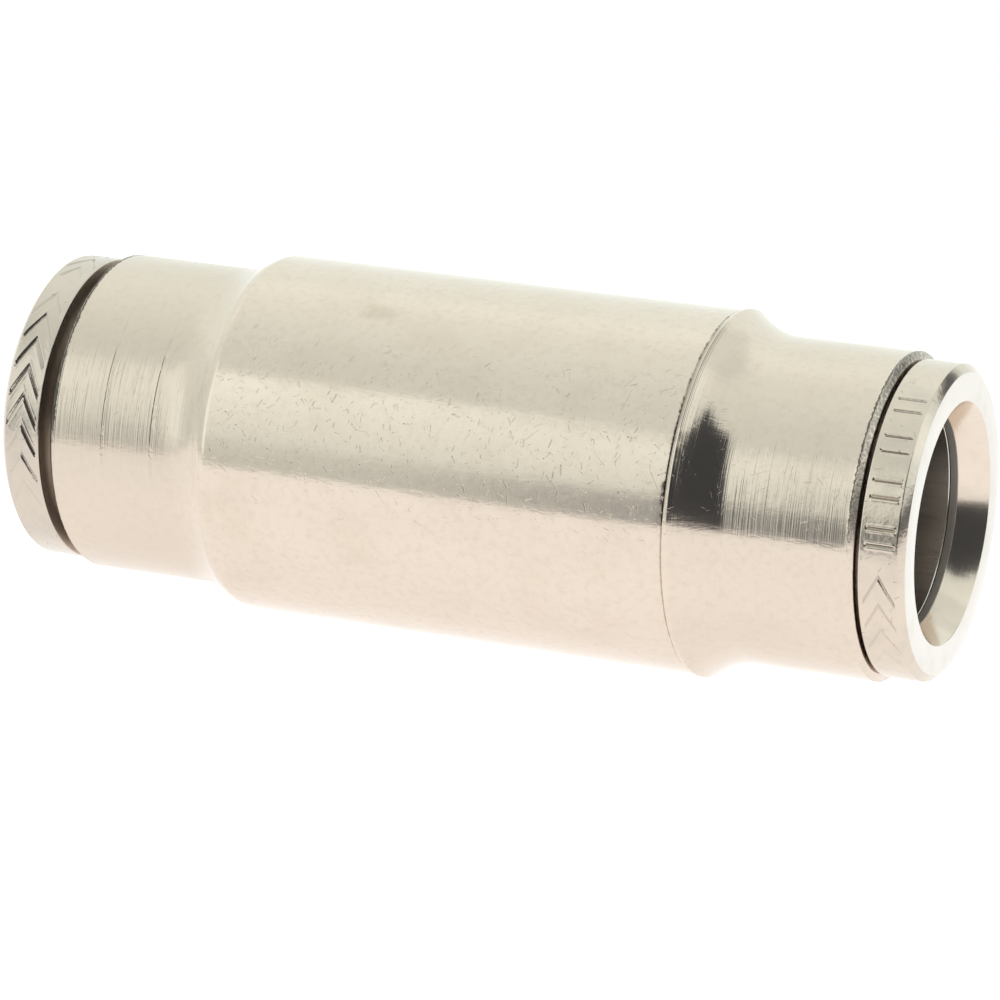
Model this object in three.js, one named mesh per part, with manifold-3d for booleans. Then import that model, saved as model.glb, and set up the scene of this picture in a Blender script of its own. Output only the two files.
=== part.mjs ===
// Straight push-to-connect union for two pipes of the same size.
//
// A one-piece stepped body lies along X. Each end takes a tube: the tube passes a
// release ring and a slotted collet, pushes through a sprung gripping ring and a seal,
// and lands on a stop in the middle of the body. Units are millimetres, +Z is up and
// the origin is on the axis, half way along the body.

import * as THREE from 'three';
import { mergeVertices } from 'three/addons/utils/BufferGeometryUtils.js';
import Module from 'manifold-3d';

// ---------------------------------------------------------------- driving sizes

// The tube that each end takes. Every radius below builds outwards from it.
const tubeRadius = 6.0;
const tubeWall = 1.25;
const tubeClearance = 0.07;

// Body. Lengths along X are measured from the middle of the body.
const bodyHalfLength = 24.35;
const gripHalfLength = 13.78;
const gripStep = 1.1;
const neckWall = 0.8;
const stopHalfThickness = 2.5;
const flowEdgeBevel = 0.5;

// The raised edge left where the turned neck meets the grip, and the hollow below it.
const ridgeHeight = 0.1;
const ridgeRise = 0.07;
const ridgeWidth = 0.22;
const shoulderLength = 2.8;

// The end of each neck is rolled inwards to hold the guide bush.
const rolledEdgeLength = 0.26;
const rolledEdgeHeight = 0.33;
const lipThickness = 0.6;

// Seal, and the washer that keeps the collet off it.
const sealSection = 2.1;
const sealEndPlay = 0.5;
const washerThickness = 0.8;

// Guide bush: a sleeve with a cone that squeezes the collet's fingers shut.
const bushWall = 0.65;
const bushHeadRoom = 0.35;

// Collet: a sleeve with a thick slotted head, and the toothed ring in its head.
const colletWall = 0.78;
const colletLength = 11.0;
const colletHeadLength = 2.0;
const colletHeadHeight = 0.7;
const colletBeadHeight = 0.13;
const colletBeadHalfWidth = 0.5;
const colletBeadSetback = 1.4;
const colletEdgeLength = 0.35;
const colletEdgeDepth = 0.2;
const colletSlots = 8;
const colletSlotWidth = 0.9;
const colletSlotLength = 5.5;
const toothedRingLength = 1.1;
const toothedRingWall = 0.55;
const toothHeight = 0.17;
const toothedRingGap = 1.2;

// Release ring: a head outside the body and a stem that turns on the collet.
const headInset = 0.37;
const headLength = 2.553;
const headChamferLength = 0.378;
const headChamferHeight = 0.46;
const leadInHeight = 0.77;
const boreLandLength = 0.42;
const colletSeatDepth = 0.465;
const stemWall = 0.65;
const stemLength = 2.4;

// How far a ring and its collet travel, and how far out of its innermost place each rests.
const travel = 0.73;
const restTravelLeft = travel;
const restTravelRight = 0.16;

// Named clearances.
const innermostGap = 0.055;
const closeClearance = 0.05;
const runningClearance = 0.1;
const slidingClearance = 0.15;
const endClearance = 0.1;
const coneClearance = 0.14;
const colletEndRoom = 0.32;
const stemEndRoom = 0.5;

// How finely round shapes are cut. Both counts divide by 12.
const fineSides = 48;
const coarseSides = 24;
const shoulderSteps = 6;

// ---------------------------------------------------------------- radii, from the tube outwards

const flowRadius = tubeRadius - tubeWall;
const boreRadius = tubeRadius + tubeClearance;
const sleeveRadius = boreRadius + colletWall;
const colletHeadRadius = sleeveRadius + colletHeadHeight;
const counterboreRadius = sleeveRadius + runningClearance;
const stemRadius = counterboreRadius + stemWall;
const lipRadius = stemRadius + slidingClearance;
const bushRadius = lipRadius + bushWall;
const bushRoomRadius = bushRadius + closeClearance;
const sealRoomRadius = tubeRadius + sealSection;
const neckRadius = bushRoomRadius + neckWall;
const gripRadius = neckRadius + gripStep;
const headRadius = neckRadius - headInset;
const leadInRadius = boreRadius + leadInHeight;

// ---------------------------------------------------------------- places along X

// The collet's outer end, and the start of its cone, with the ring a given gap off the body.
const colletEndAt = (gap) => bodyHalfLength + gap + colletSeatDepth - closeClearance;
const colletConeAt = (gap) => colletEndAt(gap) - colletLength + colletHeadLength;

const lipStart = bodyHalfLength - lipThickness;
const bushRoomStart = colletEndAt(innermostGap) - colletLength - colletEndRoom;
const washerEnd = bushRoomStart - endClearance;
const washerStart = washerEnd - washerThickness;
const sealRoomStart = washerStart - sealSection - sealEndPlay;

// ---------------------------------------------------------------- shared tools

const wasm = await Module();
wasm.setup();

// A closed outline of [along, radius] points, turned round the X axis.
function turned(outline, sides) {
  const points = outline.map(([along, radius]) => new THREE.Vector2(radius, along));
  points.push(points[0].clone());
  const geometry = new THREE.LatheGeometry(points, sides);
  geometry.rotateZ(-Math.PI / 2);
  return geometry;
}

function toSolid(geometry) {
  const bare = geometry.clone();
  bare.deleteAttribute('normal');
  bare.deleteAttribute('uv');
  const welded = mergeVertices(bare, 1e-5);
  return new wasm.Manifold(new wasm.Mesh({
    numProp: 3,
    vertProperties: new Float32Array(welded.attributes.position.array),
    triVerts: new Uint32Array(welded.index.array),
  }));
}

function toGeometry(solid) {
  const mesh = solid.getMesh();
  const geometry = new THREE.BufferGeometry();
  geometry.setAttribute('position', new THREE.BufferAttribute(new Float32Array(mesh.vertProperties), 3));
  geometry.setIndex(new THREE.BufferAttribute(new Uint32Array(mesh.triVerts), 1));
  geometry.computeVertexNormals();
  return geometry;
}

// The same outline on the other side of the middle, still going round the same way.
function mirrored(outline) {
  return outline.map(([along, radius]) => [-along, radius]).reverse();
}

// An outline drawn for the right-hand end, moved to the side where it is wanted.
function onSide(side, outline) {
  return side > 0 ? outline : mirrored(outline);
}

function metal(color, roughness) {
  return new THREE.MeshStandardMaterial({ color, roughness, metalness: 1 });
}

const finishes = {
  nickel: metal(0xd8d0c2, 0.25),
  nickelRing: metal(0xddd6c8, 0.2),
  brass: metal(0xb8924a, 0.35),
  stainless: metal(0xa8a8a6, 0.3),
  rubber: new THREE.MeshStandardMaterial({ color: 0x1c1c1c, roughness: 0.7, metalness: 0 }),
};

const fitting = new THREE.Group();

function add(name, geometry, finish, place = [0, 0, 0]) {
  const mesh = new THREE.Mesh(geometry, finish);
  mesh.name = name;
  mesh.position.set(...place);
  fitting.add(mesh);
}

// ---------------------------------------------------------------- body

// Right half of the body's outside, from the edge of the grip to the end face.
function bodyOutside() {
  const crest = gripHalfLength + ridgeRise;
  const hollowEnd = crest + ridgeWidth + shoulderLength;
  const drop = gripStep + ridgeHeight;
  const outline = [
    [gripHalfLength, gripRadius],
    [crest, gripRadius + ridgeHeight],
  ];
  for (let step = 0; step <= shoulderSteps; step += 1) {
    const turn = (step / shoulderSteps) * (Math.PI / 2);
    outline.push([
      hollowEnd - shoulderLength * Math.cos(turn),
      neckRadius + drop * (1 - Math.sin(turn)),
    ]);
  }
  outline.push([bodyHalfLength - rolledEdgeLength, neckRadius]);
  outline.push([bodyHalfLength, neckRadius - rolledEdgeHeight]);
  return outline;
}

// Right half of the body's inside, from the end face back to the flow passage.
function bodyInside() {
  return [
    [bodyHalfLength, lipRadius],
    [lipStart, lipRadius],
    [lipStart, bushRoomRadius],
    [bushRoomStart, bushRoomRadius],
    [bushRoomStart, sealRoomRadius],
    [sealRoomStart, sealRoomRadius],
    [sealRoomStart, boreRadius],
    [stopHalfThickness, boreRadius],
    [stopHalfThickness, flowRadius + flowEdgeBevel],
    [stopHalfThickness - flowEdgeBevel, flowRadius],
  ];
}

function makeBody() {
  const rightHalf = [...bodyOutside(), ...bodyInside()];
  add('body', turned([...rightHalf, ...mirrored(rightHalf)], fineSides), finishes.nickel);
}

// ---------------------------------------------------------------- pieces that stay in the body

function makeSeal(side, name) {
  const centreRadius = sealRoomRadius - closeClearance - sealSection / 2;
  const centre = (sealRoomStart + washerStart) / 2;
  const ring = new THREE.TorusGeometry(centreRadius, sealSection / 2, 10, coarseSides);
  ring.rotateY(Math.PI / 2);
  add(`seal_${name}`, ring, finishes.rubber, [side * centre, 0, 0]);
}

function makeWasher(side, name) {
  const outline = [
    [washerStart, sealRoomRadius - closeClearance],
    [washerEnd, sealRoomRadius - closeClearance],
    [washerEnd, boreRadius + closeClearance],
    [washerStart, boreRadius + closeClearance],
  ];
  add(`spacer_washer_${name}`, turned(onSide(side, outline), coarseSides), finishes.brass);
}

function makeGuideBush(side, name) {
  const start = bushRoomStart + endClearance;
  const end = lipStart - closeClearance;
  const stemRoomStart = bodyHalfLength + innermostGap - stemLength - stemEndRoom;
  const headRoom = colletHeadRadius + bushHeadRoom;
  const throat = sleeveRadius + colletBeadHeight + closeClearance;
  const coneStart = colletConeAt(innermostGap + travel) + coneClearance - bushHeadRoom;
  const outline = [
    [start, bushRadius],
    [end, bushRadius],
    [end, lipRadius],
    [stemRoomStart, lipRadius],
    [stemRoomStart, throat],
    [coneStart + headRoom - throat, throat],
    [coneStart, headRoom],
    [start, headRoom],
  ];
  add(`guide_bush_${name}`, turned(onSide(side, outline), coarseSides), finishes.brass);
}

// ---------------------------------------------------------------- pieces that slide together

function makeCollet(side, name, gap) {
  const end = colletEndAt(gap);
  const start = end - colletLength;
  const coneStart = colletConeAt(gap);
  const bead = end - colletBeadSetback;
  const ringRoomStart = start + colletEdgeLength;
  const ringRoomEnd = ringRoomStart + toothedRingLength;
  const ringRoomRadius = boreRadius + toothedRingWall;
  const outline = [
    [start, colletHeadRadius],
    [coneStart, colletHeadRadius],
    [coneStart + colletHeadHeight, sleeveRadius],
    [bead - colletBeadHalfWidth, sleeveRadius],
    [bead, sleeveRadius + colletBeadHeight],
    [bead + colletBeadHalfWidth, sleeveRadius],
    [end, sleeveRadius],
    [end, boreRadius],
    [ringRoomEnd, boreRadius],
    [ringRoomEnd, ringRoomRadius],
    [ringRoomStart, ringRoomRadius],
    [ringRoomStart, boreRadius + colletEdgeDepth],
    [start, boreRadius + colletEdgeDepth],
  ];
  let solid = toSolid(turned(onSide(side, outline), coarseSides));
  const cutterHeight = 2 * (colletHeadRadius - boreRadius);
  for (let slot = 0; slot < colletSlots; slot += 1) {
    const cutter = new THREE.BoxGeometry(2 * colletSlotLength, colletSlotWidth, cutterHeight);
    cutter.translate(side * start, 0, (boreRadius + colletHeadRadius) / 2);
    cutter.rotateX(((slot + 0.5) / colletSlots) * 2 * Math.PI);
    solid = solid.subtract(toSolid(cutter));
  }
  add(`collet_${name}`, toGeometry(solid), finishes.brass);
}

function makeToothedRing(side, name, gap) {
  const start = colletEndAt(gap) - colletLength + colletEdgeLength + closeClearance;
  const end = start + toothedRingLength - 2 * closeClearance;
  const outer = boreRadius + toothedRingWall - closeClearance;
  const root = boreRadius + closeClearance;
  const tip = boreRadius - toothHeight;
  const middle = (start + end) / 2;
  const outline = [
    [start, outer],
    [end, outer],
    [end, tip],
    [middle + closeClearance, root],
    [middle, tip],
    [start, root],
  ];
  const split = new THREE.BoxGeometry(2 * toothedRingLength, toothedRingGap, boreRadius);
  split.translate(side * middle, 0, boreRadius);
  const solid = toSolid(turned(onSide(side, outline), coarseSides)).subtract(toSolid(split));
  add(`toothed_ring_${name}`, toGeometry(solid), finishes.stainless);
}

// ---------------------------------------------------------------- release ring

function makeReleaseRing(side, name, gap) {
  const back = bodyHalfLength + gap;
  const front = back + headLength;
  const seat = back + colletSeatDepth;
  const stemEnd = back - stemLength;
  const bead = colletEndAt(gap) - colletBeadSetback;
  const grooveHalf = colletBeadHalfWidth + runningClearance;
  const outline = [
    [stemEnd, stemRadius],
    [back, stemRadius],
    [back, headRadius],
    [front - headChamferLength, headRadius],
    [front, headRadius - headChamferHeight],
    [front, leadInRadius],
    [seat + boreLandLength, boreRadius],
    [seat, boreRadius],
    [seat, counterboreRadius],
    [bead + grooveHalf, counterboreRadius],
    [bead, counterboreRadius + colletBeadHeight],
    [bead - grooveHalf, counterboreRadius],
    [stemEnd, counterboreRadius],
  ];
  add(`release_ring_${name}`, turned(onSide(side, outline), fineSides), finishes.nickelRing);
}

// ---------------------------------------------------------------- the whole fitting

makeBody();

const ends = [
  { side: -1, name: 'left', gap: innermostGap + restTravelLeft },
  { side: 1, name: 'right', gap: innermostGap + restTravelRight },
];

for (const { side, name, gap } of ends) {
  makeSeal(side, name);
  makeWasher(side, name);
  makeGuideBush(side, name);
  makeCollet(side, name, gap);
  makeToothedRing(side, name, gap);
  makeReleaseRing(side, name, gap);
}

export default fitting;
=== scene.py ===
# %% [markdown]
# # A push to connect fitting, built piece by piece
# The fitting joins two tubes of the same size, end to end. It is a nickel-plated body with a
# release ring, a collet and a seal at each end. Everything is turned on a lathe, so almost
# every shape here is one outline spun about the X axis.
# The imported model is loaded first: it fixes the places and sizes, and what follows
# only makes finer pieces in the same places, and their finishes.

# %% Load the fixed frame
import math
import random

import bmesh
import bpy
from mathutils import Matrix, Vector, noise


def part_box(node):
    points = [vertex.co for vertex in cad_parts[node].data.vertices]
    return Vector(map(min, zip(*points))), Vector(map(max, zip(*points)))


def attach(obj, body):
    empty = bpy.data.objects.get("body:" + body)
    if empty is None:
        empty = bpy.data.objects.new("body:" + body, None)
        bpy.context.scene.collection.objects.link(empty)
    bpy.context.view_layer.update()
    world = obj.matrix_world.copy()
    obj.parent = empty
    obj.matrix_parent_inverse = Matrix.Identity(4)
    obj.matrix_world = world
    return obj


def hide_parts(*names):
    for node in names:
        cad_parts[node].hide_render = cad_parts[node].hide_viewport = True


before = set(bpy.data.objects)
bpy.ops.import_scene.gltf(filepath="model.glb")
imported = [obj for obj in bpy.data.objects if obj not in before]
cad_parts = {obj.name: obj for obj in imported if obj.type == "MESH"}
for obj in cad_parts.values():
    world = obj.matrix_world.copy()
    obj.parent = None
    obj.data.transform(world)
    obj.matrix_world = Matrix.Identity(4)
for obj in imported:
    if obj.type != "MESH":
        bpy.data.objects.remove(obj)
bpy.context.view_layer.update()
MM = 0.001
print("nodes in the frame:", sorted(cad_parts))

# %% [markdown]
# ## Sizes
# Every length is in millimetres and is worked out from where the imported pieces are, with a few
# sizes of the turned details beside them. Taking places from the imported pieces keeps
# the finer pieces inside the space that the motion was tested with.


# %% Sizes of the turned pieces
def reach(node):
    """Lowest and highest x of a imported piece, and its largest radius, in millimetres."""
    low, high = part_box(node)
    return low.x / MM, high.x / MM, high.z / MM


body_start, body_end, crest_radius = reach("body")
body_half = body_end
grip_half = 13.78
crest_height = 0.10
grip_radius = crest_radius - crest_height
crest_start = grip_half + 0.07
crest_end = crest_start + 0.22
shoulder_length = 3.05
hollow_bend = 2.1
neck_radius = grip_radius - 1.1
hollow_end = crest_end + shoulder_length
rolled_length = 0.26
rolled_height = 0.33
bore_radius = 6.07
flow_radius = 4.75
lip_radius = 7.75
lip_thickness = 0.6
bush_room_radius = 8.45
bush_room_start = 13.505
seal_room_radius = 8.1
seal_room_start = 10.005
stop_half = 2.5
flow_bevel = 0.5
print("body half length", round(body_half, 3), "crest radius", round(crest_radius, 3))

# %% [markdown]
# ## Camera
# A long lens, standing off to the right of the middle and a little above, so that the right
# end faces the viewer and the left end turns away.

# %% Camera
camera_turn = math.radians(22.80)
camera_rise = math.radians(19.43)
camera_distance = 0.276
camera_slide_right = -0.00003
camera_slide_up = -0.00218

camera_data = bpy.data.cameras.new("camera")
camera_data.sensor_width = 36.0
camera_data.lens = 173.4
camera_data.clip_start = 0.01
camera = bpy.data.objects.new("camera", camera_data)
bpy.context.scene.collection.objects.link(camera)
look_back = Vector((
    math.sin(camera_turn) * math.cos(camera_rise),
    -math.cos(camera_turn) * math.cos(camera_rise),
    math.sin(camera_rise),
))
facing = (-look_back).to_track_quat("-Z", "Y")
right = facing @ Vector((1.0, 0.0, 0.0))
above = facing @ Vector((0.0, 1.0, 0.0))
camera.rotation_mode = "QUATERNION"
camera.rotation_quaternion = facing
camera.location = look_back * camera_distance + right * camera_slide_right + above * camera_slide_up
bpy.context.scene.camera = camera
bpy.context.scene.view_settings.view_transform = "Standard"
print("camera at", [round(v, 4) for v in camera.location])

# %% [markdown]
# ## Writing finishes as expressions
# A finish is a tree of shader nodes. Joining dozens of Math nodes by hand is hard to read, so a
# small class wraps a socket and lets + - * / build the nodes. Everything else, such
# as a noise or a ramp, comes from one method that takes the node's type, settings and inputs.


# %% Sockets that can be added and multiplied
class Wire:
    """An output of a shader node. Adding or multiplying wires adds Math nodes."""

    def __init__(self, finish, socket):
        self.finish = finish
        self.socket = socket

    def math(self, operation, *values):
        return self.finish.node("ShaderNodeMath", {"operation": operation}, dict(enumerate(values)))

    def __add__(self, other):
        return self.math("ADD", self, other)

    def __radd__(self, other):
        return self.math("ADD", other, self)

    def __sub__(self, other):
        return self.math("SUBTRACT", self, other)

    def __rsub__(self, other):
        return self.math("SUBTRACT", other, self)

    def __mul__(self, other):
        return self.math("MULTIPLY", self, other)

    def __rmul__(self, other):
        return self.math("MULTIPLY", other, self)

    def __truediv__(self, other):
        return self.math("DIVIDE", self, other)

    def __abs__(self):
        return self.math("ABSOLUTE", self)


class Finish:
    """The node tree of one finish, or of the surroundings."""

    def __init__(self, tree):
        self.tree = tree
        tree.nodes.clear()

    def node(self, kind, settings=None, inputs=None, output=0):
        made = self.tree.nodes.new(kind)
        for name, value in (settings or {}).items():
            if name == "stops":
                self.fill_ramp(made.color_ramp, value)
            else:
                setattr(made, name, value)
        for name, value in (inputs or {}).items():
            if isinstance(value, Wire):
                self.tree.links.new(value.socket, made.inputs[name])
            else:
                made.inputs[name].default_value = value
        return Wire(self, made.outputs[output] if made.outputs else None)

    def fill_ramp(self, ramp, stops):
        while len(ramp.elements) < len(stops):
            ramp.elements.new(1.0)
        for element, (place, color) in zip(ramp.elements, stops):
            element.position = place
            element.color = color

    def parts(self, vector):
        """The three numbers of a vector."""
        first = self.node("ShaderNodeSeparateXYZ", inputs={0: vector})
        outputs = first.socket.node.outputs
        return Wire(self, outputs[0]), Wire(self, outputs[1]), Wire(self, outputs[2])

    def vector(self, x, y, z):
        return self.node("ShaderNodeCombineXYZ", inputs={0: x, 1: y, 2: z})

    def ease(self, value, low, high):
        """0 below low, 1 above high, and a smooth rise between them."""
        return self.node(
            "ShaderNodeMapRange",
            {"interpolation_type": "SMOOTHSTEP"},
            {"Value": value, "From Min": low, "From Max": high, "To Min": 0.0, "To Max": 1.0},
        )

    def between(self, value, low, high, soft):
        """1 from low to high, with soft edges outside."""
        return self.ease(value, low - soft, low) * (1.0 - self.ease(value, high, high + soft))

    def blend(self, amount, first, second):
        """Mixes two colours."""
        made = self.tree.nodes.new("ShaderNodeMix")
        made.data_type = "RGBA"
        made.clamp_factor = True
        for place, value in ((0, amount), (6, first), (7, second)):
            if isinstance(value, Wire):
                self.tree.links.new(value.socket, made.inputs[place])
            elif place == 0:
                made.inputs[place].default_value = value
            else:
                made.inputs[place].default_value = (*value[:3], 1.0)
        return Wire(self, made.outputs[2])

    def noise(self, vector, scale, detail=2.0, roughness=0.5, dimensions="3D"):
        """Soft random variation from 0 to 1."""
        place = "W" if dimensions == "1D" else "Vector"
        return self.node(
            "ShaderNodeTexNoise",
            {"noise_dimensions": dimensions},
            {place: vector, "Scale": scale, "Detail": detail, "Roughness": roughness},
        )


print("shader helpers ready")

# %% [markdown]
# ## Floor and light
# The fitting lies on a pale light table inside a light tent. A metal part shows what
# is around it, so the surroundings are made with care: pale walls, a thin shadowy line where
# table and tent meet, and the dark opening of the tent that the viewer looks through. It is
# that opening which draws the black band along the grip. The tent is written in the world's
# shader, by direction: turn is the compass angle from the front, and rise the height above the
# horizon, both in degrees. To the viewer, the world itself is plain and pale.

# %% Pale floor
floor_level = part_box("body")[0].z
floor_radius = 0.115
floor_glow = 1.09
floor_mesh = bmesh.new()
bmesh.ops.create_circle(floor_mesh, cap_ends=True, radius=floor_radius, segments=96)
bmesh.ops.translate(floor_mesh, verts=floor_mesh.verts, vec=(0.0, 0.0, floor_level))
floor_data = bpy.data.meshes.new("floor")
floor_mesh.to_mesh(floor_data)
floor_mesh.free()
floor = bpy.data.objects.new("floor", floor_data)
bpy.context.scene.collection.objects.link(floor)

floor_material = bpy.data.materials.new("light_table")
floor_material.use_nodes = True
table_finish = Finish(floor_material.node_tree)
table_place = table_finish.node("ShaderNodeTexCoord", output=3)
table_x, table_y, _ = table_finish.parts(table_place)
from_middle = table_finish.node(
    "ShaderNodeVectorMath", {"operation": "LENGTH"}, {0: table_finish.vector(table_x * 0.4, table_y, 0.0)}, output=1
)
# The table glows a little brighter near the middle: a painted pool of light under the fitting.
table_glow = table_finish.blend(table_finish.ease(from_middle, 0.012, 0.032), (1.0, 1.0, 1.0), (0.94, 0.94, 0.94))
table_shade = table_finish.node(
    "ShaderNodeBsdfPrincipled",
    inputs={
        "Base Color": (0.25, 0.25, 0.25, 1.0),
        "Roughness": 0.9,
        "Specular IOR Level": 0.0,
        "Emission Color": table_glow,
        "Emission Strength": floor_glow,
    },
)
table_finish.node("ShaderNodeOutputMaterial", inputs={"Surface": table_shade})
floor_data.materials.append(floor_material)
print("floor at", round(floor_level / MM, 3), "mm")

# %% Tent and its opening
world = bpy.data.worlds.new("light_tent")
world.use_nodes = True
bpy.context.scene.world = world
tent = Finish(world.node_tree)
direction = tent.node("ShaderNodeTexCoord", output=0)
east, north, up = tent.parts(direction)
to_degrees = 180.0 / math.pi
turn = tent.node("ShaderNodeMath", {"operation": "ARCTAN2"}, {0: east, 1: 0.0 - north}) * to_degrees
rise = tent.node("ShaderNodeMath", {"operation": "ARCSINE"}, {0: up}) * to_degrees

wall_tint = (0.955, 1.035, 1.0)
seam = (0.33, 0.35, 0.38)
deep_seam = (0.08, 0.09, 0.10)
opening = (0.066, 0.072, 0.080)
glow_panel = (1.30, 1.42, 1.42)
lamp_glow = (1.30, 1.39, 1.36)
side_shade = (0.58, 0.62, 0.60)
table_below = (1.25, 1.25, 1.25)


def wall_by_height(levels):
    """Brightness of a tent wall: a smooth ramp through (height in degrees, level)."""
    stops = [((height + 90.0) / 180.0, (*[level * tint for tint in wall_tint], 1.0)) for height, level in levels]
    place = (rise + 90.0) / 180.0
    return tent.node("ShaderNodeValToRGB", {"stops": stops}, {0: place})


front_wall = wall_by_height(
    [(-7, 0.84), (-2, 0.84), (6, 0.90), (14, 1.06), (24, 1.14), (38, 1.21), (42, 1.16), (49, 0.95), (62, 0.97), (80, 1.05)]
)
back_wall = wall_by_height([(-4, 1.15), (14, 1.15), (36, 1.18), (48, 1.24), (60, 1.14), (70, 1.08)])
tone = tent.blend(tent.ease(abs(turn), 45.0, 120.0), front_wall, back_wall)
panel = tent.between(turn, 98.0, 118.0, 8.0) * tent.between(rise, 14.0, 40.0, 10.0)
tone = tent.blend(panel, tone, glow_panel)
lamp = tent.between(turn, -58.0, -34.0, 6.0) * tent.between(rise, 1.0, 45.0, 5.0)
tone = tent.blend(lamp * 0.85, tone, lamp_glow)
left_side = tent.between(turn, -95.0, -64.0, 8.0) * tent.between(rise, 5.0, 45.0, 8.0)
right_back = tent.between(turn, 120.0, 170.0, 8.0) * tent.between(rise, 38.0, 68.0, 8.0)
tone = tent.blend(left_side * 0.2 + right_back * 0.3, tone, side_shade)
seam_line = tent.between(rise, -4.0, 5.5, 4.0) * tent.between(turn, 66.0, 106.0, 12.0)
tone = tent.blend(seam_line, tone, deep_seam)
dusk = tent.ease(turn, -23.0, -18.5) * tent.between(turn, -40.0, 0.0, 5.0) * tent.between(rise, -7.0, 8.0, 8.0)
tone = tent.blend(dusk * 0.8, tone, seam)
corner_shade = tent.between(turn, 139.0, 158.0, 5.0) * tent.between(rise, 11.0, 23.0, 5.0)
tone = tent.blend(corner_shade, tone, deep_seam)
leaning_turn = turn - rise * 0.13
doorway = tent.between(leaning_turn, -14.5, 62.0, 3.0) * tent.between(rise, -12.0, 58.0, 4.0)
tone = tent.blend(doorway, tone, opening)
tone = tent.blend(tent.ease(0.0 - rise, 5.0, 6.5), tone, table_below)

shown = tent.node("ShaderNodeLightPath", output=0)
tone = tent.blend(shown, tone, (1.0, 1.0, 1.0))
glow = tent.node("ShaderNodeBackground", inputs={"Color": tone, "Strength": 1.0})
tent.node("ShaderNodeOutputWorld", inputs={"Surface": glow})
print("light tent ready")

# %% [markdown]
# ## What the finishes share
# Every finish works in millimetres on the piece: how far along the X axis, and how far around
# it. Turning on a lathe leaves fine rings, which are noise that only changes along the axis.
# A knock leaves a short straight nick: a Voronoi texture gives each small patch of the
# surface its own centre and random numbers, which turn one short line its own way there.


# %% Rings, nicks and the place on a piece
class PieceFinish(Finish):
    """A finish of one kind of piece, with the marks that turning and handling leave."""

    def __init__(self, name, radius):
        self.material = bpy.data.materials.new(name)
        self.material.use_nodes = True
        super().__init__(self.material.node_tree)
        coordinates = self.node("ShaderNodeTexCoord", output=3)
        scaled = self.node("ShaderNodeVectorMath", {"operation": "SCALE"}, {0: coordinates, "Scale": 1.0 / MM})
        self.place = scaled
        self.x, self.y, self.z = self.parts(scaled)
        self.angle = self.node("ShaderNodeMath", {"operation": "ARCTAN2"}, {0: self.y, 1: self.z})
        self.around = self.angle * radius

    def turning_rings(self, spacing, waver=0.05):
        """Fine rings left by the lathe tool, that waver and fade a little round the piece."""
        sway = self.noise(self.place, 0.35, detail=1.0) * waver
        rings = self.noise((self.x + sway) / spacing, 1.0, detail=3.0, roughness=0.6, dimensions="1D")
        patches = self.noise(self.vector(self.x / spacing * 0.5, self.around * 0.35, 0.0), 1.0, detail=2.0)
        return (rings - 0.5) * (self.ease(patches, 0.35, 0.65) * 0.8 + 0.3)

    def nicks(self, patch, length, width, share, shift):
        """One short straight nick in each patch of surface, turned its own way."""
        flat = self.vector(self.x / patch + shift, self.around / patch + shift, 0.0)
        cells = self.node("ShaderNodeTexVoronoi", {"voronoi_dimensions": "2D"}, {"Vector": flat, "Scale": 1.0})
        outputs = cells.socket.node.outputs
        chance = Wire(self, outputs["Color"])
        centre = Wire(self, outputs["Position"])
        offset = self.node("ShaderNodeVectorMath", {"operation": "SUBTRACT"}, {0: flat, 1: centre})
        across, up_piece, _ = self.parts(offset)
        way, size, present = self.parts(chance)
        sine = (way * math.tau).math("SINE", way * math.tau)
        cosine = way.math("COSINE", way * math.tau)
        along_nick = abs(across * cosine + up_piece * sine)
        off_nick = abs(up_piece * cosine - across * sine)
        half = (size * 0.7 + 0.3) * (0.5 * length / patch)
        thin = 1.0 - self.ease(off_nick, 0.25 * width / patch, 0.5 * width / patch)
        short = 1.0 - self.ease(along_nick, half * 0.7, half)
        kept = present.math("LESS_THAN", present, share)
        return thin * short * kept

    def bump(self, height, depth):
        """Turns a height from 0 to 1 into a bent normal; depth is in millimetres."""
        return self.node(
            "ShaderNodeBump",
            inputs={"Strength": 1.0, "Distance": depth * MM, "Height": height},
        )

    def metal(self, color, roughness, normal):
        shade = self.node(
            "ShaderNodeBsdfPrincipled",
            inputs={"Base Color": color, "Roughness": roughness, "Metallic": 1.0, "Normal": normal},
        )
        self.node("ShaderNodeOutputMaterial", inputs={"Surface": shade})
        return self.material


print("finish helpers ready")

# %% [markdown]
# ## Nickel plate on the body
# Bright nickel over brass is a little warm. The grip is polished but has been handled: it is
# full of small nicks and has faint cloudy patches. The necks keep the rings of the lathe. The
# hollows beside the grip have stronger rings. The dark lines along the right edge of the grip
# and at the rolled ends are partly dirt and partly painted shade, darker on the upper side. The
# rolled ends are rough and grey where the metal was pressed over, greyer on the upper side,
# which is painted shade too.

# %% Nickel plate of the body
clean_nickel = (0.700, 0.596, 0.503)
cloudy_nickel = (0.640, 0.535, 0.440)
grey_nickel = (0.540, 0.500, 0.450)
nick_dark = (0.140, 0.115, 0.095)
worn_nickel = (0.650, 0.554, 0.464)
mottled_nickel = (0.610, 0.512, 0.424)
stain_brown = (0.400, 0.290, 0.210)
# a dark colour for dirt and for painted shade in the grip's edge lines and the rolled ends
dirt_and_painted_shade = (0.050, 0.042, 0.036)

plate = PieceFinish("nickel_plate", grip_radius)
off_middle = abs(plate.x)
on_neck = plate.ease(off_middle, crest_end - 0.1, crest_end + 0.2)
in_hollow = plate.between(off_middle, crest_end, hollow_end - 1.0, 0.6)
rolled = plate.ease(off_middle, body_half - 0.36, body_half - 0.22)
edge_line_dirt_and_shade = plate.between(plate.x, grip_half - 0.09, grip_half + 0.05, 0.04)

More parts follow.
